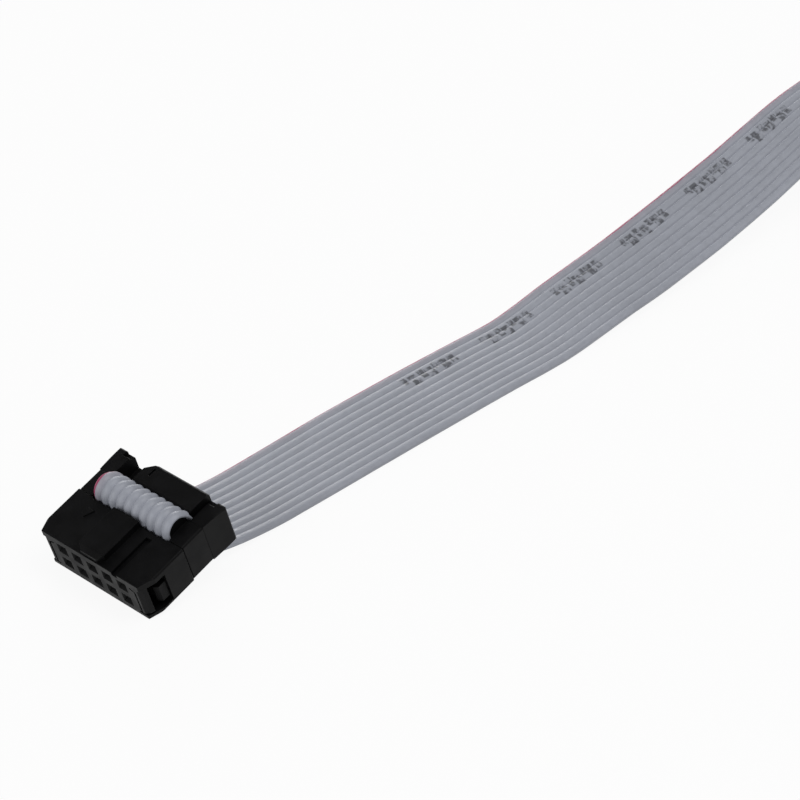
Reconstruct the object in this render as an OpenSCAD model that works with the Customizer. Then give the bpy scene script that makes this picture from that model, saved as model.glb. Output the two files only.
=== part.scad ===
// Flat ribbon cable with an insulation-displacement socket pressed on each end.
// X runs along the cable from the near socket to the far one, Y across it towards
// conductor 1, and Z up from the surface that the cable lies on.
// Each socket is drawn in its own frame first: x back from the mating face, y across,
// z up from its lower side.

/* [Ribbon] */
// Distance between the lower front edges of the two sockets
span = 226; // [222:1:240]
// Pitch of the conductors
wire_pitch = 1.27; // [1.2:0.01:1.3]
// Thickness over a conductor
ribbon_t = 0.9; // [0.8:0.02:1]
// Thickness of the web between two conductors
web_t = 0.34; // [0.26:0.02:0.44]
// Width of a rib where it leaves the web
rib_foot = 1.14; // [0.9:0.02:1.18]
// Width of the flat along a rib's crest
rib_crest = 0.7; // [0.4:0.02:0.8]
// Blunt height of the ribbon's two long edges
edge_t = 0.3; // [0.2:0.02:0.4]

/* [Socket] */
// Length of the socket body from its mating face to its seam
body_d = 7.2; // [7:0.1:9]
// Plastic beside the outermost contacts, centre line to end face
end_w = 3.82; // [3.8:0.02:4.4]
// Height of the socket without its key
conn_h = 6; // [5.8:0.1:7]
// Length of the cover behind the seam
cover_d = 3.6; // [3.4:0.1:4]
// Length of the strain relief
relief_d = 4; // [3.6:0.1:5]
// Wall of the cover that the ribbon is folded round
clamp_wall = 2.6; // [2.4:0.1:3]
// How far the ribbon sinks into the back of the body
clamp_bite = 0.2; // [0.1:0.05:0.3]
// Nose-down lean of each socket, in degrees
tilt = 20; // [18:1:22]

/* [Body details] */
// How much the mating end narrows at each side
taper_w = 0.8; // [0.4:0.1:1]
// Length of that narrowing
taper_l = 2.2; // [1.5:0.1:2.6]
// Width of the polarising key
key_w = 4.2; // [3.6:0.1:4.4]
// Height of the polarising key
key_h = 1; // [0.6:0.1:1.3]
// How far the key's front corners are cut back in plan
key_nose = 0.8; // [0.3:0.1:1.2]
// Distance from the key to the moulded groove beside it
channel_gap = 1.7; // [1.2:0.1:2]
// Width of that groove
channel_w = 0.9; // [0.5:0.1:1.2]
// Depth of that groove
channel_depth = 0.5; // [0.3:0.05:0.6]
// Square pin hole in the mating face
pin_hole = 1; // [0.8:0.05:1.1]
// Mouth of the funnel round a pin hole
funnel = 1.6; // [1.4:0.05:1.8]
// Depth of the funnel
funnel_depth = 0.5; // [0.3:0.05:0.7]
// Rounding of the long edges
edge_r = 0.3; // [0.15:0.05:0.4]

/* [Cover and strain relief] */
// Thickness of a latch leg
leg_t = 0.6; // [0.5:0.05:0.7]
// Height of a latch leg
leg_h = 3.6; // [3:0.1:4]
// How far the cover is set in from the body's end faces
cover_inset = 0.2; // [0.1:0.05:0.3]
// Rise of the strain relief's bar above the socket
bar_rise = 0.75; // [0.4:0.05:1]
// How much wider the strain relief is at its rear, at each side
relief_flare = 0.3; // [0:0.05:0.4]
// Depth of the comb teeth that reach between the ribs
comb_depth = 0.15; // [0.05:0.05:0.2]

/* [Contacts] */
// Thickness of the contact strip
contact_t = 0.3; // [0.25:0.05:0.4]
// Width of the slot that grips a conductor
grip_slot = 0.25; // [0.2:0.05:0.3]

/* [Hidden] */
WAYS = 10;
COLUMNS = WAYS / 2;

function contact_name(end, i) = str(end, "_contact_", i < 10 ? "0" : "", i);

PLASTIC = [0.07, 0.07, 0.075];
PVC = [0.58, 0.59, 0.62];
BRONZE = [0.8, 0.66, 0.36];

// Clearances
fit_gap = 0.03;
seam_gap = 0.08;
side_gap = 0.15;
cut = 1;

// Small chamfers of the upright corners at the two seams
seam_notch = 0.12;
relief_notch = 0.02;

// Sizes that follow from the values above
pin_pitch = 2 * wire_pitch;
conn_w = (COLUMNS - 1) * pin_pitch + 2 * end_w;
half_w = conn_w / 2;
ribbon_half = WAYS * wire_pitch / 2;
front_leg_x = body_d - clamp_bite + ribbon_t / 2;
rear_leg_x = front_leg_x + clamp_wall + ribbon_t;
loop_x = (front_leg_x + rear_leg_x) / 2;
bend_r = (clamp_wall + ribbon_t) / 2;
relief_x = body_d + cover_d;
relief_end = relief_x + relief_d;
cover_half = half_w - cover_inset;
pocket_half = ribbon_half + side_gap;
row_z = [conn_h / 2 + pin_pitch / 2, conn_h / 2 - pin_pitch / 2];

// Contact strip, along the socket: two beams, a base, a neck and a fork
beam_x = 1.6;
beam_w = 0.28;
beam_half = 0.62;
beam_bump = 0.1;
beam_tip = 0.15;
beam_lead = 0.7;
beam_grip = 1.5;
fork_x = body_d - 1;
neck_l = 0.6;
base_l = 0.8;
base_x = fork_x - neck_l - base_l;
base_half = 0.73;
fork_half = 0.5;
fork_reach = 1.1;
fork_end = front_leg_x + ribbon_t / 2 + fork_reach;
fork_taper = 0.25;
prong_shoulder = 0.12;
prong_tip = 0.2;
slot_root = 0.45;
slot_start = body_d - slot_root;

// Cavity that a contact is pushed into from behind
cavity_half = base_half + fit_gap;
cavity_front = 1.2;
cavity_h = 1.1;
slot_h = contact_t + 2 * fit_gap;

// Latch channel, window and hook at each end of the body
latch_wall = 0.22;
latch_play = 0.1;
latch_room = 0.6;
channel_y = pocket_half + latch_wall;
latch_channel = leg_t + 2 * fit_gap + latch_play;
latch_h = leg_h + latch_room;
latch_top = (conn_h + latch_h) / 2;
leg_z = (conn_h - leg_h) / 2;
mouth_lip = 0.35;
window_x = 1;
window_l = 2.65;
ledge_z = 0.5;
hook_set_back = 1.05;
hook_x = window_x + hook_set_back;
hook_h = 2.6;
hook_lead = 0.4;
hook_inset = 0.3;

// Slit that frees the strap in front of each window from the block of pin holes
slit_w = 0.28;
slit_set_out = 0.38;
slit_y = channel_y + slit_set_out;
slit_root = 1.05;
slit_top = conn_h - slit_root;
slit_slope = 0.4;
slit_hook = 0.7;
slit_toe = 0.35;

// Key, the mark of contact 1, and how far the key lifts a socket that lies on it
key_set_back = 0.15;
key_step = 0.6;
key_lead = 0.8;
mark_x = body_d - 2.9;
mark_l = 1.3;
mark_h = 0.15;
key_lift = key_h * cos(tilt) - key_lead * sin(tilt);

// Strain relief
arm_wall = 0.15;
arm_half = pocket_half + arm_wall;
arm_nose = 0.9;
arm_drop = 0.7;
arm_lip = 0.95;
arm_round = 0.35;
bar_left = 3.4;
bar_right = -6.3;
bar_chamfer = 1.3;
bar_lead = 0.35;
notch_floor = 3.4;
nick_back = 1.9;
nick_l = 1.2;
nick_w = 0.3;
nick_depth = 0.25;
leg_set_in = 0.45;
relief_leg_y = arm_half + leg_set_in;
relief_leg_l = 1.3;

// Shared builders

module along_x(x0, x1) {
    translate([x0, 0, 0]) rotate([90, 0, 90]) linear_extrude(x1 - x0) children();
}

module along_z(z0, z1) {
    translate([0, 0, z0]) linear_extrude(z1 - z0) children();
}

module both_ends() {
    children();
    mirror([0, 1, 0]) children();
}

// Rectangle from z = 0 up, centred on y = 0, with rounded corners
module rounded_outline(half, height, r) {
    translate([-half + r, 0]) square([2 * (half - r), height]);
    translate([-half, r]) square([2 * half, height - 2 * r]);
    for (y = [-half + r, half - r], z = [r, height - r]) translate([y, z]) circle(r, $fn = 24);
}

// Ribbon section: u across the ribbon, n through its thickness

function wire_u(i) = (i - (WAYS + 1) / 2) * wire_pitch;

function rib_side(i, dir, gap) = let (
        u = wire_u(i),
        foot = rib_foot / 2 + gap,
        crest = rib_crest / 2 + gap,
        web = web_t / 2 + gap,
        top = ribbon_t / 2 + gap
    ) [
        [u + dir * foot, dir * web],
        [u + dir * crest, dir * top],
        [u - dir * crest, dir * top],
        [u - dir * foot, dir * web]
    ];

function ribbon_section(gap = 0) = let (
        edge = ribbon_half + gap,
        blunt = edge_t / 2 + gap,
        upper = [for (i = [WAYS:-1:1]) for (p = rib_side(i, 1, gap)) p],
        lower = [for (i = [1:WAYS]) for (p = rib_side(i, -1, gap)) p],
        last = len(upper) - 1
    ) concat(
        [[edge, blunt]],
        [for (k = [1:last - 1]) upper[k]],
        [[-edge, blunt], [-edge, -blunt]],
        [for (k = [1:last - 1]) lower[k]],
        [[edge, -blunt]]
    );

// Route of the free run. Each row is x from that end's front edge, y, the height
// above lying flat, and how far the conductor 1 side is raised, in degrees.

exit_bend = [[0.35, -0.61], [0.88, -1.05], [1.53, -1.29]];

near_route = [
    [14.5, 0, 1.4, 0], [17.5, 0, 0.87, 0], [21, 0, 0.45, 0], [25, 0, 0.16, 0.2],
    [29, 0, 0.1, 0.6], [36, -0.1, 0.2, 1.8], [45, -0.25, 0.38, 3.4], [60, -0.55, 0.46, 4],
    [70, -0.8, 0.44, 3.8], [79, -1.15, 0.48, 4], [84, -1.2, 0.84, 6], [90, -1.2, 1.56, 8.2],
    [96, -1.2, 2.2, 9], [103, -1.2, 2.85, 11.2], [110, -1.2, 3.8, 12.8], [117, -1.2, 4.84, 14.4],
    [124, -1.2, 6.1, 14.8], [131, -1.2, 7.5, 14], [138, -1.2, 9.2, 12.6], [145, -1.2, 10.9, 11],
    [151, -1.2, 12, 9.5]
];

far_route = [
    [14.5, 0, 1.95, 0], [17, 0, 1.4, 0], [20, 0, 0.85, 0], [23.5, 0, 0.35, 0],
    [27, 0, 0.08, 0], [30.5, -0.1, 0.2, 0.4], [34.5, -0.2, 0.95, 1], [39, -0.3, 2.4, 1.8],
    [45, -0.5, 4.9, 3], [51, -0.7, 7.6, 4.4], [57, -0.9, 10, 6], [63, -1.1, 11.8, 7.4],
    [69, -1.2, 12.5, 8.6]
];

lie_z = ribbon_t / 2;
exit_x = rear_leg_x * cos(tilt);
exit_z = rear_leg_x * sin(tilt);

// One end's exit bend and route, outwards from its socket, with x from its front edge
function half_route(rows, lift) = concat(
    [[exit_x, 0, exit_z + lift, 0]],
    [for (b = exit_bend) [exit_x + b[0], 0, exit_z + lift + b[1], 0]],
    [for (r = rows) [r[0], r[1], r[2] + lie_z, r[3]]]
);

function reversed(list) = [for (i = [len(list) - 1:-1:0]) list[i]];

route = concat(
    [for (r = half_route(near_route, 0)) [r[0] - span / 2, r[1], r[2], r[3]]],
    [for (r = reversed(half_route(far_route, key_lift))) [span / 2 - r[0], r[1], r[2], r[3]]]
);

function unit(v) = v / norm(v);
function place(r) = [r[0], r[1], r[2]];

function heading(k) =
    k == 0 ? [sin(tilt), 0, -cos(tilt)]
    : k == len(route) - 1 ? [sin(tilt), 0, cos(tilt)]
    : unit(place(route[k + 1]) - place(route[k - 1]));

function ring(k, section) = let (
        t = heading(k),
        level = unit([-t[1], t[0], 0]),
        rise = cross(t, level),
        bank = route[k][3],
        side = level * cos(bank) + rise * sin(bank),
        face = cross(t, side)
    ) [for (p = section) place(route[k]) + side * p[0] + face * p[1]];

module free_run() {
    section = ribbon_section();
    n = len(section);
    rings = len(route);
    points = [for (k = [0:rings - 1]) for (p = ring(k, section)) p];
    sides = [for (k = [0:rings - 2], j = [0:n - 1])
        [k * n + j, (k + 1) * n + j, (k + 1) * n + (j + 1) % n, k * n + (j + 1) % n]];
    start_cap = [for (j = [0:n - 1]) j];
    end_cap = [for (j = [n - 1:-1:0]) (rings - 1) * n + j];
    polyhedron(points, concat([start_cap], sides, [end_cap]), convexity = 8);
}

// Clamped end of the ribbon: up behind the body, over the cover and down to the exit

module ribbon_leg(x, gap = 0, below = 0) {
    translate([x, 0, -below]) linear_extrude(conn_h + below)
        polygon([for (p = ribbon_section(gap)) [p[1], p[0]]]);
}

module ribbon_bend(gap = 0) {
    translate([loop_x, 0, conn_h]) rotate([90, 0, 0])
        rotate_extrude(angle = 180, $fn = 48)
            polygon([for (p = ribbon_section(gap)) [bend_r + p[1], p[0]]]);
}

// The space that the clamped ribbon takes, with room to fit it
module ribbon_room() {
    ribbon_leg(front_leg_x, fit_gap, cut);
    ribbon_leg(rear_leg_x, fit_gap, cut);
    ribbon_bend(fit_gap);
}

module clamped_ribbon() {
    difference() {
        ribbon_leg(front_leg_x);
        for (i = [1:WAYS]) contact_place(i) prong_slits();
    }
    ribbon_leg(rear_leg_x);
    ribbon_bend();
}

// Contacts. Odd ones sit in the row beside the key and even ones in the other row,
// and each fork is cranked half a conductor pitch aside to meet its conductor.

function column_y(i) = ((COLUMNS + 1) / 2 - ceil(i / 2)) * pin_pitch;

module contact_place(i) {
    odd = i % 2 == 1;
    translate([0, column_y(i), row_z[odd ? 0 : 1]]) mirror([0, odd ? 0 : 1, 0]) children();
}

fork_y = wire_pitch / 2;

function beam_side(dir) = [
    [base_x, dir * beam_half],
    [beam_x, dir * beam_half],
    [beam_x, dir * (beam_half - beam_tip)],
    [beam_x + beam_lead, dir * (beam_half - beam_w - beam_bump)],
    [beam_x + beam_grip, dir * (beam_half - beam_w)],
    [base_x, dir * (beam_half - beam_w)]
];

function prong_side(dir) = [
    [fork_x, fork_y + dir * fork_half],
    [fork_end - fork_taper, fork_y + dir * fork_half],
    [fork_end, fork_y + dir * (fork_half - prong_shoulder)],
    [fork_end, fork_y + dir * (fork_half - prong_tip)],
    [fork_end - 2 * fork_taper, fork_y + dir * grip_slot / 2],
    [slot_start, fork_y + dir * grip_slot / 2]
];

module contact_blank() {
    color(BRONZE) along_z(-contact_t / 2, contact_t / 2) polygon(concat(
        [[base_x, base_half]],
        beam_side(1),
        reversed(beam_side(-1)),
        [[base_x, -base_half], [base_x + base_l, -base_half]],
        prong_side(-1),
        reversed(prong_side(1)),
        [[base_x + base_l, base_half]]
    ));
}

// The two slits that a fork cuts in the ribbon as it is pressed on
module prong_slits() {
    for (dir = [0, 1]) translate([front_leg_x - ribbon_t, fork_y, -contact_t / 2 - fit_gap])
        mirror([0, dir, 0]) translate([0, grip_slot / 2 - fit_gap, 0])
            cube([2 * ribbon_t, fork_half - grip_slot / 2 + 2 * fit_gap, contact_t + 2 * fit_gap]);
}

module contact(i) {
    contact_place(i) contact_blank();
}

// Socket body

module contact_cavity() {
    along_x(-cut, cavity_front + fit_gap) square(pin_hole, center = true);
    along_x(cavity_front, base_x) square([2 * cavity_half, cavity_h], center = true);
    along_z(-slot_h / 2, slot_h / 2) translate([base_x - fit_gap, -cavity_half])
        square([body_d - base_x + cut, cavity_half + fork_y + fork_half + 2 * fit_gap]);
    intersection() {
        along_z(-funnel, funnel) funnel_outline();
        rotate([90, 0, 0]) along_z(-funnel, funnel) funnel_outline();
    }
}

module funnel_outline() {
    polygon([
        [-fit_gap, -funnel / 2], [0, -funnel / 2], [funnel_depth, -pin_hole / 2],
        [funnel_depth, pin_hole / 2], [0, funnel / 2], [-fit_gap, funnel / 2]
    ]);
}

module body_plan() {
    polygon([
        [0, half_w - taper_w], [taper_l, half_w],
        [body_d - seam_notch, half_w], [body_d, half_w - seam_notch],
        [body_d, seam_notch - half_w], [body_d - seam_notch, -half_w],
        [taper_l, -half_w], [0, taper_w - half_w]
    ]);
}

module key() {
    key_end = front_leg_x - ribbon_t / 2 - fit_gap;
    key_half = key_w / 2;
    intersection() {
        rotate([90, 0, 0]) along_z(-key_half, key_half) polygon([
            [key_set_back, conn_h - edge_r], [key_set_back, conn_h + key_step * key_h],
            [key_lead, conn_h + key_h], [key_end, conn_h + key_h], [key_end, conn_h - edge_r]
        ]);
        along_z(conn_h - edge_r, conn_h + key_h) polygon([
            [key_set_back, key_half - key_nose], [key_set_back + key_nose, key_half],
            [key_end, key_half], [key_end, -key_half],
            [key_set_back + key_nose, -key_half], [key_set_back, key_nose - key_half]
        ]);
    }
}

// Small raised triangle beside contact 1
module first_way_mark() {
    along_z(conn_h - mark_h, conn_h + mark_h) translate([mark_x, column_y(1)])
        polygon([[0, 0], [mark_l, mark_l / 2], [mark_l, -mark_l / 2]]);
}

// The strap hangs from the body's top: the slit runs down its inner side and out under it
module strap_slit() {
    outer = slit_y + slit_w;
    toe = slit_y - slit_toe;
    toe_z = ledge_z + slit_w;
    along_x(-cut, window_x + fit_gap) polygon([
        [slit_y - slit_hook, slit_top], [outer, slit_top - slit_slope],
        [outer, toe_z], [half_w + cut, toe_z], [half_w + cut, ledge_z],
        [toe, ledge_z], [toe, toe_z], [slit_y, toe_z],
        [slit_y, slit_top - slit_slope - slit_w / 2], [slit_y - slit_hook, slit_top - slit_w]
    ]);
}

module latch_cuts() {
    translate([window_x, channel_y, latch_top - latch_h])
        cube([body_d - window_x + cut, latch_channel, latch_h]);
    translate([window_x, channel_y, ledge_z]) cube([window_l, half_w, latch_top - ledge_z]);
    strap_slit();
    along_z(ledge_z, latch_top)
        polygon([[-cut, half_w - taper_w - mouth_lip], [0, half_w - taper_w - mouth_lip],
                 [window_x + fit_gap, half_w], [-cut, half_w + cut]]);
}

module socket_body() {
    color(PLASTIC) difference() {
        union() {
            intersection() {
                along_x(0, body_d) rounded_outline(half_w, conn_h, edge_r);
                along_z(0, conn_h) body_plan();
            }
            key();
            first_way_mark();
        }
        for (i = [1:WAYS]) contact_place(i) contact_cavity();
        both_ends() latch_cuts();
        translate([-cut, -key_w / 2 - channel_gap - channel_w, conn_h - channel_depth])
            cube([fork_x + cut, channel_w, 2 * channel_depth]);
        translate([body_d - clamp_bite + comb_depth, -pocket_half, -cut])
            cube([body_d, 2 * pocket_half, conn_h + 2 * cut]);
        ribbon_room();
    }
}

// Cover

module cover_leg() {
    leg_y = channel_y + fit_gap;
    translate([hook_x, leg_y, leg_z]) cube([body_d + 2 * seam_gap - hook_x, leg_t, leg_h]);
    translate([body_d + seam_gap, leg_y - fit_gap, leg_z]) cube([cover_d / 2, leg_t, leg_h]);
    along_z(leg_z, leg_z + hook_h) polygon([
        [hook_x, leg_y], [hook_x, half_w - 3 * hook_inset], [hook_x + hook_lead, half_w - hook_inset],
        [window_x + window_l - seam_gap, half_w - hook_inset], [window_x + window_l - seam_gap, leg_y]
    ]);
}

module cover_plan() {
    x0 = body_d + seam_gap;
    polygon([
        [x0 + seam_notch, cover_half], [relief_x - relief_notch, cover_half],
        [relief_x, cover_half - relief_notch], [relief_x, relief_notch - cover_half],
        [relief_x - relief_notch, -cover_half],
        [x0 + seam_notch, -cover_half], [x0, seam_notch - cover_half], [x0, cover_half - seam_notch]
    ]);
}

module relief_leg(grow = 0) {
    translate([relief_x - relief_leg_l - grow, relief_leg_y - grow, leg_z - grow])
        cube([relief_leg_l + grow + cut, leg_t + 2 * grow, leg_h + 2 * grow]);
}

module cover() {
    saddle_r = bend_r - ribbon_t / 2 + comb_depth;
    wall_front = front_leg_x + ribbon_t / 2 - comb_depth;
    color(PLASTIC) difference() {
        union() {
            difference() {
                intersection() {
                    along_x(body_d, relief_x) rounded_outline(cover_half, conn_h, edge_r);
                    along_z(0, conn_h) cover_plan();
                }
                translate([body_d - cut, -pocket_half, -cut])
                    cube([wall_front - body_d + cut, 2 * pocket_half, conn_h + 2 * cut]);
                translate([rear_leg_x - ribbon_t / 2 + comb_depth, -pocket_half, -cut])
                    cube([relief_d, 2 * pocket_half, conn_h + 2 * cut]);
            }
            translate([loop_x, ribbon_half, conn_h]) rotate([90, 0, 0])
                cylinder(r = saddle_r, h = 2 * ribbon_half, $fn = 48);
            both_ends() cover_leg();
        }
        ribbon_room();
        for (i = [1:WAYS]) contact_place(i)
            along_z(-slot_h / 2, slot_h / 2) translate([body_d, fork_y - fork_half - 2 * fit_gap])
                square([fork_end + 2 * fit_gap - body_d, 2 * fork_half + 4 * fit_gap]);
        both_ends() relief_leg(fit_gap);
    }
}

// Strain relief

module relief_plan() {
    x0 = relief_x + fit_gap;
    rear_half = cover_half + relief_flare;
    polygon([
        [x0 + relief_notch, cover_half], [relief_end - edge_r, rear_half], [relief_end, rear_half - edge_r],
        [relief_end, edge_r - rear_half], [relief_end - edge_r, -rear_half], [x0 + relief_notch, -cover_half],
        [x0, relief_notch - cover_half], [x0, cover_half - relief_notch]
    ]);
}

module relief_bar() {
    x0 = rear_leg_x + ribbon_t / 2 - comb_depth;
    top = conn_h + bar_rise;
    intersection() {
        along_z(0, top) polygon([
            [x0, bar_right], [relief_end, bar_right], [relief_end, bar_left - bar_chamfer],
            [relief_end - bar_chamfer, bar_left], [x0, bar_left]
        ]);
        rotate([90, 0, 0]) along_z(-half_w, half_w) polygon([
            [x0, 0], [relief_end, 0], [relief_end, top - edge_r], [relief_end - edge_r, top],
            [x0 + bar_lead, top], [x0, top - bar_lead]
        ]);
    }
}

module strain_relief() {
    x0 = rear_leg_x + ribbon_t / 2 - comb_depth;
    color(PLASTIC) difference() {
        union() {
            difference() {
                intersection() {
                    along_x(relief_x, relief_end) rounded_outline(cover_half + relief_flare, conn_h, edge_r);
                    along_z(0, conn_h) relief_plan();
                }
                translate([relief_x - cut, -pocket_half, -cut])
                    cube([x0 - relief_x + cut, 2 * pocket_half, conn_h + 2 * cut]);
                translate([x0 - cut, -arm_half, conn_h - arm_drop])
                    cube([relief_d + 2 * cut, 2 * arm_half, conn_h]);
                translate([x0 - cut, bar_left - bar_chamfer, notch_floor])
                    cube([relief_d + 2 * cut, arm_half - bar_left + bar_chamfer, conn_h]);
                both_ends() rotate([90, 0, 0]) along_z(arm_lip - cover_half, cut - arm_half) polygon([
                    [relief_end - arm_nose, conn_h + cut], [relief_end - arm_nose, conn_h],
                    [relief_end - arm_nose / 2, conn_h - arm_drop], [relief_end + cut, conn_h - arm_drop],
                    [relief_end + cut, conn_h + cut]
                ]);
                rotate([90, 0, 0]) along_z(-half_w - cut, half_w + cut) difference() {
                    translate([relief_end - arm_round, conn_h - arm_round]) square(cut);
                    translate([relief_end - arm_round, conn_h - arm_round]) circle(arm_round, $fn = 32);
                }
            }
            relief_bar();
            both_ends() relief_leg();
        }
        ribbon_room();
        translate([relief_end - nick_back, bar_left - bar_chamfer, conn_h + bar_rise])
            translate([0, -nick_depth, -nick_depth]) cube([nick_l, nick_w, cut]);
    }
}

// Places of the two sockets

module near_place() {
    translate([-span / 2, 0, 0]) rotate([0, -tilt, 0]) children();
}

module far_place() {
    translate([span / 2, 0, key_lift]) rotate([0, 0, 180]) rotate([0, -tilt, 0]) children();
}

// The far body and its contacts lie key down, so that conductor 1 meets contact 1
module key_down() {
    translate([0, 0, conn_h]) rotate([180, 0, 0]) children();
}

module ribbon() {
    color(PVC) free_run();
}

module ribbon_fold() {
    color(PVC) clamped_ribbon();
}

ribbon();
near_place() ribbon_fold();  // near_ribbon_fold
far_place() ribbon_fold();  // far_ribbon_fold
near_place() socket_body();  // near_socket_body
near_place() cover();  // near_cover
near_place() strain_relief();  // near_strain_relief
far_place() key_down() socket_body();  // far_socket_body
far_place() cover();  // far_cover
far_place() strain_relief();  // far_strain_relief
for (i = [1:WAYS]) {
    near_place() contact(i);
    far_place() key_down() contact(i);
}
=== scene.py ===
import math

import bmesh
import bpy
from mathutils import Matrix, Vector


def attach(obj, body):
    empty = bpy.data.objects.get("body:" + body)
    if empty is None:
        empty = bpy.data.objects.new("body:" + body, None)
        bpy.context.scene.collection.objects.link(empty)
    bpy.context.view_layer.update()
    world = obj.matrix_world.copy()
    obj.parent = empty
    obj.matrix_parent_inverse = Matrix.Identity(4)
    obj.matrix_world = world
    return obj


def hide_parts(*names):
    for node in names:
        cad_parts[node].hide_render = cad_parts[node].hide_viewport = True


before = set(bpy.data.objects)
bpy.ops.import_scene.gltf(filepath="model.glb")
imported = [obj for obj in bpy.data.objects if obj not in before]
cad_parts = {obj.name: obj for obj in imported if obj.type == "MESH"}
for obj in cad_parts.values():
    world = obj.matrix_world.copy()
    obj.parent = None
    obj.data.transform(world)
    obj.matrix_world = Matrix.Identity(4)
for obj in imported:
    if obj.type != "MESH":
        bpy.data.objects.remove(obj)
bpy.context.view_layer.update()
scene = bpy.context.scene
mm = 0.001


# Camera and where the cable lies in its view
# The photograph looks down along the cable from beyond the near socket. Its angle was
# found from the socket's corners, its grid of entries and the ribbon's two long edges.

near_edge_x = -113 * mm
photo_px = 800
focal_px = 2584
sensor_mm = 36
aim_past_edge = 57.0 * mm
aim_aside = 2.4 * mm
camera_aim = Vector((near_edge_x + aim_past_edge, aim_aside, 0))
camera_azimuth = math.radians(39.17)
camera_elevation = math.radians(32.65)
camera_roll = math.radians(3.37)
camera_distance = 346.2 * mm

level = math.cos(camera_elevation)
camera_back = Vector((-level * math.cos(camera_azimuth), -level * math.sin(camera_azimuth),
                      math.sin(camera_elevation)))
bpy.ops.object.camera_add(location=camera_aim + camera_back * camera_distance)
camera = bpy.context.object
camera.data.sensor_width = sensor_mm
camera.data.lens = sensor_mm * focal_px / photo_px
camera.data.clip_start = 10 * mm
camera.data.clip_end = 5
facing = camera_back.to_track_quat("Z", "Y").to_matrix().to_4x4()
camera.matrix_world = (Matrix.Translation(camera.location) @ facing
                       @ Matrix.Rotation(camera_roll, 4, "Z"))
scene.camera = camera


# Ribbon
# Ten stranded wires in one extruded strip of soft grey PVC, ribbed on both faces, with
# the first wire's edge printed red. Each end is folded round a socket's cover and cut
# off flush below it, so one strip runs from the near fold to the far one.

ways = 10
pitch = 1.27 * mm
ribbon_half = ways * pitch / 2
rib_height = 0.45 * mm
web_height = 0.24 * mm
rib_roundness = 2.9
fold_rib_height = 0.42 * mm
fold_web_height = 0.1 * mm
fold_roundness = 2.0
steps_per_rib = 12

span = 226 * mm
tilt = math.radians(20)
key_height = 1.0 * mm
key_lead = 0.8 * mm
key_lift = key_height * math.cos(tilt) - key_lead * math.sin(tilt)
socket_height = 6.0 * mm
rear_leg = 10.95 * mm
saddle_x = 9.2 * mm
fold_rise = 1.6 * mm
fold_turn = math.radians(140)
fold_steps = 22
# The fold's cut end in front of the saddle, and where it falls behind the saddle into
# the strain relief: x and z in metres, in the socket's own frame.
fold_foot = [(0.00745, 0), (0.00745, 0.002), (0.00754, 0.004)]
fold_fall = [(0.01072, 0.0068), (0.01097, 0.0065), (0.01118, 0.00615), (0.01132, 0.00575),
             (0.0114, 0.0053), (0.01136, 0.0046), (0.0112, 0.0036), (0.01095, 0.0018)]
lie_height = 0.45 * mm
run_step = 1.2 * mm

# The route in metres: x from that end's front edge, y, height above lying flat, and
# how far the first wire's side is raised, in degrees.
exit_bend = [(0.00035, -0.00061), (0.00088, -0.00105), (0.00153, -0.00129)]
near_route = [
    (0.0145, 0, 0.0014, 0), (0.0175, 0, 0.00087, 0), (0.021, 0, 0.00045, 0),
    (0.025, 0, 0.00016, 0.2), (0.029, 0, 0.0001, 0.6), (0.036, -0.0001, 0.0002, 1.8),
    (0.045, -0.00025, 0.00038, 3.4), (0.060, -0.00055, 0.00046, 4), (0.070, -0.0008, 0.00044, 3.8),
    (0.079, -0.00115, 0.00048, 4), (0.084, -0.0012, 0.00084, 6), (0.090, -0.0012, 0.00156, 8.2),
    (0.096, -0.0012, 0.0022, 9), (0.103, -0.0012, 0.00285, 11.2), (0.110, -0.0012, 0.0038, 12.8),
    (0.117, -0.0012, 0.00484, 14.4), (0.124, -0.0012, 0.0061, 14.8), (0.131, -0.0012, 0.0075, 14),
    (0.138, -0.0012, 0.0092, 12.6), (0.145, -0.0012, 0.0109, 11), (0.151, -0.0012, 0.012, 9.5),
]
far_route = [
    (0.0145, 0, 0.00195, 0), (0.017, 0, 0.0014, 0), (0.020, 0, 0.00085, 0),
    (0.0235, 0, 0.00035, 0), (0.027, 0, 0.00008, 0), (0.0305, -0.0001, 0.0002, 0.4),
    (0.0345, -0.0002, 0.00095, 1), (0.039, -0.0003, 0.0024, 1.8), (0.045, -0.0005, 0.0049, 3),
    (0.051, -0.0007, 0.0076, 4.4), (0.057, -0.0009, 0.01, 6), (0.063, -0.0011, 0.0118, 7.4),
    (0.069, -0.0012, 0.0125, 8.6),
]


def socket_point(x, z, far):
    """A point of a socket's own frame, x back from its mating face and z up, in the row frame."""
    along = x * math.cos(tilt) - z * math.sin(tilt)
    up = x * math.sin(tilt) + z * math.cos(tilt)
    if far:
        return Vector((span / 2 - along, 0, up + key_lift))
    return Vector((along - span / 2, 0, up))


def half_route(rows, far):
    """One end's exit bend and its rows of the route, outwards from the socket."""
    start = socket_point(rear_leg, 0, far)
    turn = -1 if far else 1
    points = [(start, 0)]
    points += [(start + Vector((turn * dx, 0, dz)), 0) for dx, dz in exit_bend]
    for x, y, rise, bank in rows:
        points.append((Vector((turn * (x - span / 2), y, rise + lie_height)), bank))
    return points


def fold(far):
    """The fold's centreline, from the cut end up, over the cover and down to the exit."""
    rows = [socket_point(x, z, far) for x, z in fold_foot]
    for k in range(fold_steps + 1):
        angle = math.pi - fold_turn * k / fold_steps
        x = saddle_x + fold_rise * math.cos(angle)
        z = socket_height + fold_rise * math.sin(angle)
        rows.append(socket_point(x, z, far))
    return rows + [socket_point(x, z, far) for x, z in fold_fall]


route = half_route(near_route, False) + half_route(far_route, True)[::-1]
exit_headings = [Vector((math.sin(tilt), 0, -math.cos(tilt))),
                 Vector((math.sin(tilt), 0, math.cos(tilt)))]


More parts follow.
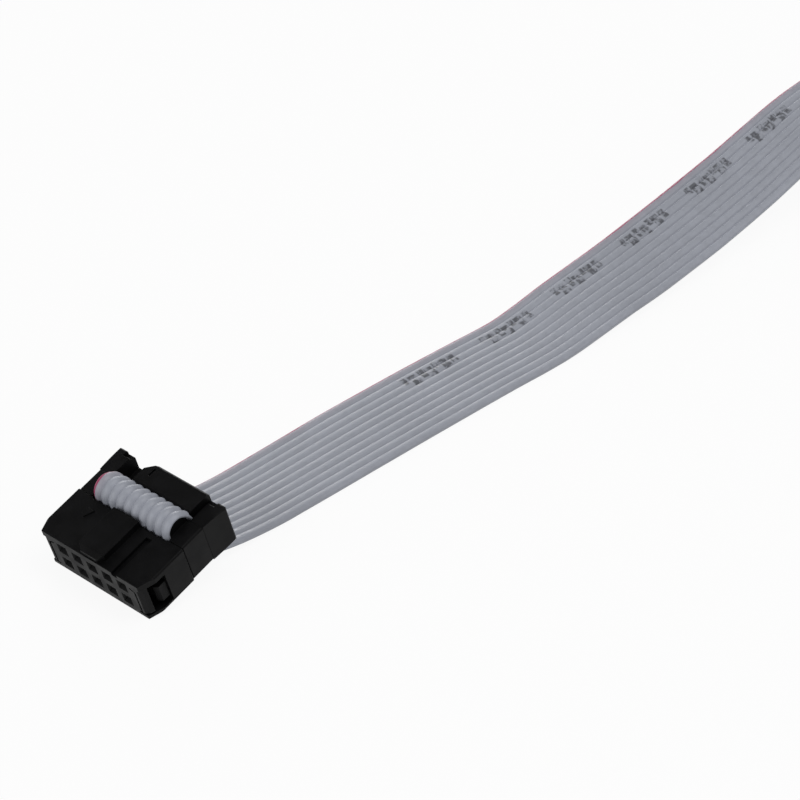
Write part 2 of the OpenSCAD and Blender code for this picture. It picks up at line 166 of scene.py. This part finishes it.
def run_samples(step):
    """Smooth samples of the free run: a cubic through the route's points, by arc length."""
    points = [p for p, _ in route]
    banks = [b for _, b in route]
    ends = [exit_headings[0]]
    for k in range(1, len(points) - 1):
        ends.append((points[k + 1] - points[k - 1]).normalized())
    ends.append(exit_headings[1])
    samples = []
    for k in range(len(points) - 1):
        length = (points[k + 1] - points[k]).length
        pieces = max(2, math.ceil(length / step))
        for j in range(pieces):
            t = j / pieces
            a = 2 * t**3 - 3 * t**2 + 1
            b = (t**3 - 2 * t**2 + t) * length
            c = 3 * t**2 - 2 * t**3
            d = (t**3 - t**2) * length
            place = points[k] * a + ends[k] * b + points[k + 1] * c + ends[k + 1] * d
            samples.append((place, banks[k] + (banks[k + 1] - banks[k]) * t))
    samples.append((points[-1], banks[-1]))
    return samples


def ribbon_section(crest, web, roundness):
    """Outline points as (across from +Y to -Y, height, place round the strip from 0 to 2)."""
    upper = []
    for k in range(ways * steps_per_rib + 1):
        rib, step = divmod(k, steps_per_rib)
        within = -math.cos(math.pi * step / steps_per_rib)
        height = web + (crest - web) * (1 - abs(within) ** roundness)
        u = (rib + (within + 1) / 2) * pitch
        upper.append((ribbon_half - u, height, u / (2 * ribbon_half)))
    lower = [(across, -height, 2 - place) for across, height, place in reversed(upper)]
    return upper + lower


near_fold = [(p, 0) for p in fold(False)]
far_fold = [(p, 0) for p in fold(True)]
run = run_samples(run_step)
centreline = near_fold + run + far_fold[::-1]
rings_to_flatten = 8
# The cut faces have their own part of the UV map, far below the strip's
cut_face_v = -10
weld_within = 1e-8


def make_ribbon():
    """The whole strip as one tube, a ring for each point of the centreline, closed at both cut ends."""
    mesh = bmesh.new()
    uv = mesh.loops.layers.uv.new("strip")
    rings = []
    travelled = []
    count = len(centreline)
    for k, (place, bank) in enumerate(centreline):
        before = centreline[max(k - 1, 0)][0]
        after = centreline[min(k + 1, count - 1)][0]
        heading = (after - before).normalized()
        across = Vector((0, 1, 0))
        across = (across - heading * across.dot(heading)).normalized()
        across = Matrix.Rotation(math.radians(bank), 3, heading) @ across
        outward = heading.cross(across)
        past_fold = min(k - len(near_fold), count - len(far_fold) - k) / rings_to_flatten
        flatter = min(max(past_fold, 0), 1)
        section = ribbon_section(fold_rib_height + (rib_height - fold_rib_height) * flatter,
                                 fold_web_height + (web_height - fold_web_height) * flatter,
                                 fold_roundness + (rib_roundness - fold_roundness) * flatter)
        rings.append([mesh.verts.new(place + across * y + outward * h) for y, h, _ in section])
        travelled.append((place - before).length + (travelled[-1] if travelled else 0))
    size = len(section)
    places = [place for _, _, place in section]
    for k in range(count - 1):
        for j in range(size):
            n = (j + 1) % size
            face = mesh.faces.new((rings[k][j], rings[k + 1][j], rings[k + 1][n], rings[k][n]))
            ahead = 2.0 if n == 0 else places[n]
            corners = ((places[j], k), (places[j], k + 1), (ahead, k + 1), (ahead, k))
            for loop, (round_place, row) in zip(face.loops, corners):
                loop[uv].uv = (round_place, travelled[row] / mm)
    for ring, order in ((rings[0], 1), (rings[-1], -1)):
        half = size // 2
        for j in range(half - 1):
            corners = (j, j + 1, size - 2 - j, size - 1 - j)[::order]
            face = mesh.faces.new([ring[i] for i in corners])
            for loop, i in zip(face.loops, corners):
                y, h, _ = section[i]
                loop[uv].uv = ((ribbon_half - y) / (2 * ribbon_half), cut_face_v + h / mm)
    bmesh.ops.remove_doubles(mesh, verts=mesh.verts, dist=weld_within)
    bmesh.ops.recalc_face_normals(mesh, faces=mesh.faces)
    data = bpy.data.meshes.new("ribbon_strip")
    mesh.to_mesh(data)
    mesh.free()
    piece = bpy.data.objects.new("ribbon_strip", data)
    scene.collection.objects.link(piece)
    piece.data.shade_smooth()
    return piece


ribbon = make_ribbon()

pvc_grey = (0.32, 0.336, 0.384)
edge_red = (0.3, 0.006, 0.075)
ink_black = (0.03, 0.032, 0.04)
copper = (0.62, 0.3, 0.17)
darkest_grey = tuple(0.94 * v for v in pvc_grey)
palest_grey = tuple(1.05 * v for v in pvc_grey)

# Noise scales for the cloudy tone, the mottle and the grain, then the range of the
# roughness, and the strength and depth of the grain's relief.
pvc_scales = (90, 900, 2500)
pvc_roughness = (0.42, 0.55)
pvc_ior = 1.53
pvc_relief = (0.25, 0.02 * mm)

# The red edge, as shares of the strip's width: where the stripe and its faint tint start
# and stop fading, how much it wavers, and how much narrower it is past the fold.
stripe_fades = (0.048, 0.064)
tint_fades = (0.07, 0.14)
tint_strength = 0.08
edge_waver = 0.04
waver_scale = 160
narrower_past_fold = 0.016
narrows_along = (12, 30)

# A conductor's radius and its soft edge, in mm
conductor_radius = 0.19
conductor_edge = 0.02

pvc = bpy.data.materials.new("grey PVC, red edge")
pvc.use_nodes = True
pvc_nodes = pvc.node_tree.nodes
pvc_shader = pvc_nodes["Principled BSDF"]


def link_value(links, source, target):
    if isinstance(source, (int, float)):
        target.default_value = source
    else:
        links.new(source, target)


def math_node(tree, operation, a, b=None, c=None):
    node = tree.nodes.new("ShaderNodeMath")
    node.operation = operation
    for value, socket in zip((a, b, c), node.inputs):
        if value is not None:
            link_value(tree.links, value, socket)
    return node.outputs[0]


def ramp_node(tree, value, low, high, from_value=0.0, to_value=1.0):
    node = tree.nodes.new("ShaderNodeMapRange")
    node.interpolation_type = "SMOOTHSTEP"
    tree.links.new(value, node.inputs["Value"])
    limits = (("From Min", low), ("From Max", high), ("To Min", from_value), ("To Max", to_value))
    for name, number in limits:
        node.inputs[name].default_value = number
    return node.outputs[0]


def mix_colour(tree, factor, a, b):
    node = tree.nodes.new("ShaderNodeMix")
    node.data_type = "RGBA"
    link_value(tree.links, factor, node.inputs[0])
    for colour, socket in ((a, node.inputs[6]), (b, node.inputs[7])):
        if isinstance(colour, tuple):
            socket.default_value = (*colour, 1)
        else:
            tree.links.new(colour, socket)
    return node.outputs[2]


def noise_node(tree, vector, scale, detail=3.0):
    node = tree.nodes.new("ShaderNodeTexNoise")
    link_value(tree.links, scale, node.inputs["Scale"])
    node.inputs["Detail"].default_value = detail
    tree.links.new(vector, node.inputs["Vector"])
    return node.outputs["Fac"]


def band(tree, value, middle, half, soft):
    """1 within half of the middle, falling to 0 over soft beyond it."""
    away = math_node(tree, "ABSOLUTE", math_node(tree, "SUBTRACT", value, middle))
    return ramp_node(tree, away, half, half + soft, 1.0, 0.0)


def mottle_and_grain():
    """The uneven surface that the PVC, the mouldings and the plating all have, at their own scales."""
    group = bpy.data.node_groups.new("mottle and grain", "ShaderNodeTree")
    names = ("Cloud", "Mottle", "Grain")
    for name in names:
        group.interface.new_socket(name=name + " Scale", in_out="INPUT", socket_type="NodeSocketFloat")
        group.interface.new_socket(name=name, in_out="OUTPUT", socket_type="NodeSocketFloat")
    given = group.nodes.new("NodeGroupInput")
    results = group.nodes.new("NodeGroupOutput")
    space = group.nodes.new("ShaderNodeTexCoord").outputs["Object"]
    for name in names:
        noise = noise_node(group, space, given.outputs[name + " Scale"])
        group.links.new(noise, results.inputs[name])
    return group


surface_group = mottle_and_grain()

# The spread of the noise that a tone or a roughness runs over
tone_spread = (0.35, 0.65)
mottle_spread = (0.3, 0.7)


def surface_node(tree, scales):
    node = tree.nodes.new("ShaderNodeGroup")
    node.node_tree = surface_group
    for name, scale in zip(("Cloud", "Mottle", "Grain"), scales):
        node.inputs[name + " Scale"].default_value = scale
    return node.outputs


def blotchy_tone(tree, surface, mottle_share):
    """Mottle and cloud together, the mottle with this share."""
    return math_node(tree, "ADD", math_node(tree, "MULTIPLY", surface["Mottle"], mottle_share),
                     math_node(tree, "MULTIPLY", surface["Cloud"], 1 - mottle_share))


def relief_node(tree, height, relief):
    """A bump of the height, with the strength and the depth that relief holds."""
    bump = tree.nodes.new("ShaderNodeBump")
    bump.inputs["Strength"].default_value = relief[0]
    bump.inputs["Distance"].default_value = relief[1]
    tree.links.new(height, bump.inputs["Height"])
    return bump


def give_finish(part, finish):
    """One finish on every slot of a CAD piece."""
    if not part.data.materials:
        part.data.materials.append(finish)
    for k in range(len(part.data.materials)):
        part.data.materials[k] = finish


# Groups of plain bars beside the red edge, worn thin, each bar as (middle along the group
# in mm, half length in mm, middle and half width across the strip from 0 to 1). The
# groups start, repeat and end at these places along the strip, in mm.
print_start = 66
print_every = 15.9
print_end = 215
print_bars = [(0.6, 0.35, 0.2, 0.045), (2.1, 0.6, 0.235, 0.07), (3.9, 0.4, 0.21, 0.06),
              (5.3, 0.55, 0.24, 0.065), (6.8, 0.35, 0.19, 0.04), (8.2, 0.6, 0.225, 0.065),
              (9.9, 0.45, 0.215, 0.055)]
bar_end_fade = 0.3
bar_side_fade = 0.02
wear_scale = 1200
wear_from_to = (0.36, 0.6)
ink_left_from_to = (0.1, 0.8)


def worn_print(tree, round_place, along, space):
    within = math_node(tree, "MODULO", math_node(tree, "SUBTRACT", along, print_start), print_every)
    covered = None
    for place, half_length, across, half_width in print_bars:
        bar = math_node(tree, "MULTIPLY", band(tree, within, place, half_length, bar_end_fade),
                        band(tree, round_place, across, half_width, bar_side_fade))
        covered = bar if covered is None else math_node(tree, "MAXIMUM", covered, bar)
    stretch = math_node(tree, "MULTIPLY", math_node(tree, "GREATER_THAN", along, print_start),
                        math_node(tree, "LESS_THAN", along, print_end))
    wear = noise_node(tree, space, wear_scale, 2)
    rubbed = ramp_node(tree, wear, *wear_from_to, *ink_left_from_to)
    return math_node(tree, "MULTIPLY", math_node(tree, "MULTIPLY", covered, stretch), rubbed)


def bare_wire(tree, round_place, along):
    """The copper in the middle of each rib, where the strip is cut off."""
    in_rib = math_node(tree, "FRACT", math_node(tree, "MULTIPLY", round_place, ways))
    sideways = math_node(tree, "MULTIPLY", math_node(tree, "SUBTRACT", in_rib, 0.5), pitch / mm)
    height = math_node(tree, "SUBTRACT", along, cut_face_v)
    away = math_node(tree, "SQRT", math_node(tree, "MULTIPLY_ADD", sideways, sideways,
                                             math_node(tree, "MULTIPLY", height, height)))
    return ramp_node(tree, away, conductor_radius, conductor_radius + conductor_edge, 1.0, 0.0)


def finish_ribbon():
    tree = pvc.node_tree
    strip = pvc_nodes.new("ShaderNodeUVMap")
    strip.uv_map = "strip"
    split = pvc_nodes.new("ShaderNodeSeparateXYZ")
    tree.links.new(strip.outputs[0], split.inputs[0])
    round_place, along = split.outputs[0], split.outputs[1]
    folded = math_node(tree, "PINGPONG", round_place, 1.0)
    space = pvc_nodes.new("ShaderNodeTexCoord").outputs["Object"]
    surface = surface_node(tree, pvc_scales)
    tone = blotchy_tone(tree, surface, mottle_share=0.5)
    grey = mix_colour(tree, ramp_node(tree, tone, *tone_spread), darkest_grey, palest_grey)
    narrowed = ramp_node(tree, along, *narrows_along, 0.0, narrower_past_fold)
    narrowing = math_node(tree, "ADD", folded, narrowed)
    waver = noise_node(tree, space, waver_scale, 2)
    wavering = math_node(tree, "MULTIPLY_ADD", waver, edge_waver, narrowing)
    tint = ramp_node(tree, wavering, *tint_fades, tint_strength, 0.0)
    stripe = ramp_node(tree, wavering, *stripe_fades, 1.0, 0.0)
    stripe = math_node(tree, "MAXIMUM", stripe, tint)
    on_strip = math_node(tree, "GREATER_THAN", along, cut_face_v / 2)
    stripe = math_node(tree, "MULTIPLY", stripe, on_strip)
    coloured = mix_colour(tree, stripe, grey, edge_red)
    printed = mix_colour(tree, worn_print(tree, round_place, along, space), coloured, ink_black)
    wire = bare_wire(tree, round_place, along)
    tree.links.new(mix_colour(tree, wire, printed, copper), pvc_shader.inputs["Base Color"])
    tree.links.new(wire, pvc_shader.inputs["Metallic"])
    rough = ramp_node(tree, surface["Mottle"], *mottle_spread, *pvc_roughness)
    tree.links.new(rough, pvc_shader.inputs["Roughness"])
    pvc_shader.inputs["IOR"].default_value = pvc_ior
    relief = relief_node(tree, surface["Grain"], pvc_relief)
    tree.links.new(relief.outputs[0], pvc_shader.inputs["Normal"])


finish_ribbon()
ribbon.data.materials.append(pvc)
for name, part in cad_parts.items():
    if "ribbon" in name:
        give_finish(part, pvc)
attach(ribbon, "root")
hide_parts("ribbon", "near_ribbon_fold", "far_ribbon_fold")


# Socket bodies, covers and strain reliefs
# Injection-moulded black glass-filled polyester. The three mouldings of a socket snap
# together over the ribbon. Their faces are matt and finely sparked, their edges softened.

darkest_black = (0.0018, 0.0018, 0.002)
palest_black = (0.004, 0.004, 0.0044)
housing_scales = (120, 500, 6000)
housing_roughness = (0.42, 0.56)
housing_specular = 0.09
housing_relief = (0.3, 0.01 * mm)
softened_edge = 0.08 * mm

housing = bpy.data.materials.new("black moulded polyester")
housing.use_nodes = True


def finish_housing():
    tree = housing.node_tree
    shader = tree.nodes["Principled BSDF"]
    surface = surface_node(tree, housing_scales)
    tone = blotchy_tone(tree, surface, mottle_share=0.6)
    colour = mix_colour(tree, ramp_node(tree, tone, *tone_spread), darkest_black, palest_black)
    tree.links.new(colour, shader.inputs["Base Color"])
    shader.inputs["Specular IOR Level"].default_value = housing_specular
    rough = ramp_node(tree, tone, *tone_spread, *housing_roughness)
    tree.links.new(rough, shader.inputs["Roughness"])
    edge = tree.nodes.new("ShaderNodeBevel")
    edge.samples = 4
    edge.inputs["Radius"].default_value = softened_edge
    relief = relief_node(tree, surface["Grain"], housing_relief)
    tree.links.new(edge.outputs[0], relief.inputs["Normal"])
    tree.links.new(relief.outputs[0], shader.inputs["Normal"])


finish_housing()
for name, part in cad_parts.items():
    if name.endswith(("socket_body", "cover", "strain_relief")):
        give_finish(part, housing)


# Contacts
# Stamped from plated phosphor bronze strip: two sprung beams that grip a post and,
# behind them, a slotted fork that bites through the PVC onto one wire.

darkest_bronze = (0.62, 0.5, 0.3)
palest_bronze = (0.75, 0.66, 0.46)
plating_scales = (400, 2200, 7000)
plating_roughness = (0.22, 0.38)
plating_relief = (0.2, 0.005 * mm)

plating = bpy.data.materials.new("plated bronze strip")
plating.use_nodes = True


def finish_contacts():
    tree = plating.node_tree
    shader = tree.nodes["Principled BSDF"]
    surface = surface_node(tree, plating_scales)
    tone = ramp_node(tree, surface["Mottle"], *tone_spread)
    tree.links.new(mix_colour(tree, tone, darkest_bronze, palest_bronze), shader.inputs["Base Color"])
    rough = ramp_node(tree, surface["Mottle"], *mottle_spread, *plating_roughness)
    tree.links.new(rough, shader.inputs["Roughness"])
    shader.inputs["Metallic"].default_value = 1
    relief = relief_node(tree, surface["Grain"], plating_relief)
    tree.links.new(relief.outputs[0], shader.inputs["Normal"])


finish_contacts()
for name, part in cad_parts.items():
    if "contact" in name:
        give_finish(part, plating)


# Floor and light
# The cable lies on a wide sheet of white paper under three soft boxes, as for a
# catalogue picture. The paper glows white to the camera and keeps a faint shadow.

paper_size = 6
paper_white = 0.85
paper_glow = 0.92
sky_strength = 0.36

bpy.ops.mesh.primitive_plane_add(size=paper_size)
floor = bpy.context.object
floor.name = "white_floor"
paper = bpy.data.materials.new("white paper")
paper.use_nodes = True
paper_tree = paper.node_tree
paper_shader = paper_tree.nodes["Principled BSDF"]
paper_shader.inputs["Base Color"].default_value = (paper_white, paper_white, paper_white, 1)
paper_shader.inputs["Roughness"].default_value = 1
paper_shader.inputs["Specular IOR Level"].default_value = 0
glow = paper_tree.nodes.new("ShaderNodeEmission")
seen = paper_tree.nodes.new("ShaderNodeLightPath")
seen_rays = math_node(paper_tree, "MAXIMUM", seen.outputs["Is Camera Ray"],
                      seen.outputs["Is Glossy Ray"])
seen_rays = math_node(paper_tree, "MAXIMUM", seen_rays, seen.outputs["Is Transmission Ray"])
paper_mix = paper_tree.nodes.new("ShaderNodeMixShader")
paper_tree.links.new(math_node(paper_tree, "MULTIPLY", seen_rays, paper_glow), paper_mix.inputs[0])
paper_tree.links.new(paper_shader.outputs[0], paper_mix.inputs[1])
paper_tree.links.new(glow.outputs[0], paper_mix.inputs[2])
paper_tree.links.new(paper_mix.outputs[0], paper_tree.nodes["Material Output"].inputs["Surface"])
floor.data.materials.append(paper)

world = bpy.data.worlds.new("studio")
scene.world = world
world.use_nodes = True
sky = world.node_tree.nodes["Background"]
sky.inputs["Color"].default_value = (1, 1, 1, 1)
sky.inputs["Strength"].default_value = sky_strength


def soft_box(name, place, size, power):
    """A square area lamp of this size in metres and power in watts, turned to the middle."""
    bpy.ops.object.light_add(type="AREA", location=place)
    lamp = bpy.context.object
    lamp.name = name
    lamp.data.shape = "SQUARE"
    lamp.data.size = size
    lamp.data.energy = power
    lamp.rotation_euler = (Vector(place) * -1).to_track_quat("-Z", "Y").to_euler()


soft_box("overhead", (0.1, -0.35, 0.9), 0.6, 3.7)
soft_box("back_left", (0.62, 0.78, 0.3), 0.5, 3.2)
soft_box("front", (-0.85, 0.1, 0.3), 0.5, 2.1)

scene.view_settings.view_transform = "Standard"
